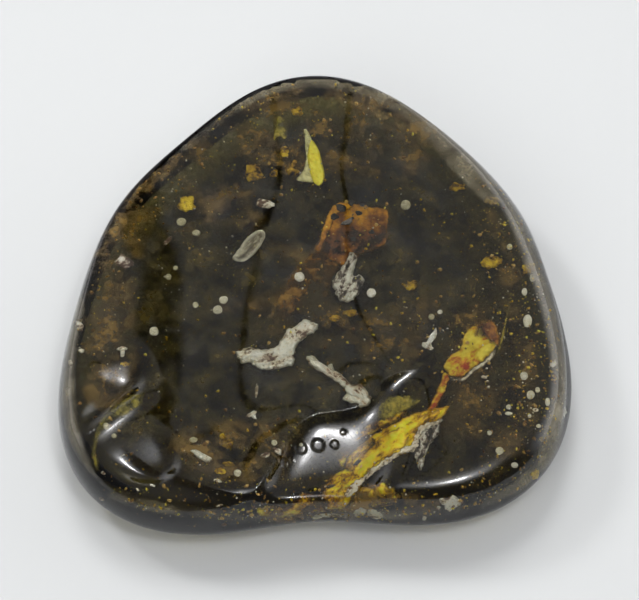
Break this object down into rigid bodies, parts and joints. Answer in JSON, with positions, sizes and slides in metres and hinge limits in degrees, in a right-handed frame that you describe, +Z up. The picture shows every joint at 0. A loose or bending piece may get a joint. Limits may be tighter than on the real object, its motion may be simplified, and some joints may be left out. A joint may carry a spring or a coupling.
{
  "type": "polished piece of dark amber with sealed bark crumbs",
  "caption": "Flat, three-cornered polished pebble of dark see-through amber with pale bark crumbs sealed under its top. A loose specimen that lies on its flat underside.",
  "frame": {"origin": "on the flat underside, under the middle of the outline's box", "axes": "+X to the right, +Y from the ridged front edge to the narrow back corner, +Z up through the polished top"},
  "size_m": [0.0417, 0.0408, 0.0089],
  "materials": {
    "amber": "polished, dark olive brown, see-through",
    "bark_crust": "matt, pale crust with dark mottles"
  },
  "bodies": {
    "root": {"amber_top": "amber", "amber_base": "amber", "crumb_long": "bark_crust", "crumb_rod": "bark_crust", "crumb_oval": "bark_crust"}
  },
  "joints": []
}
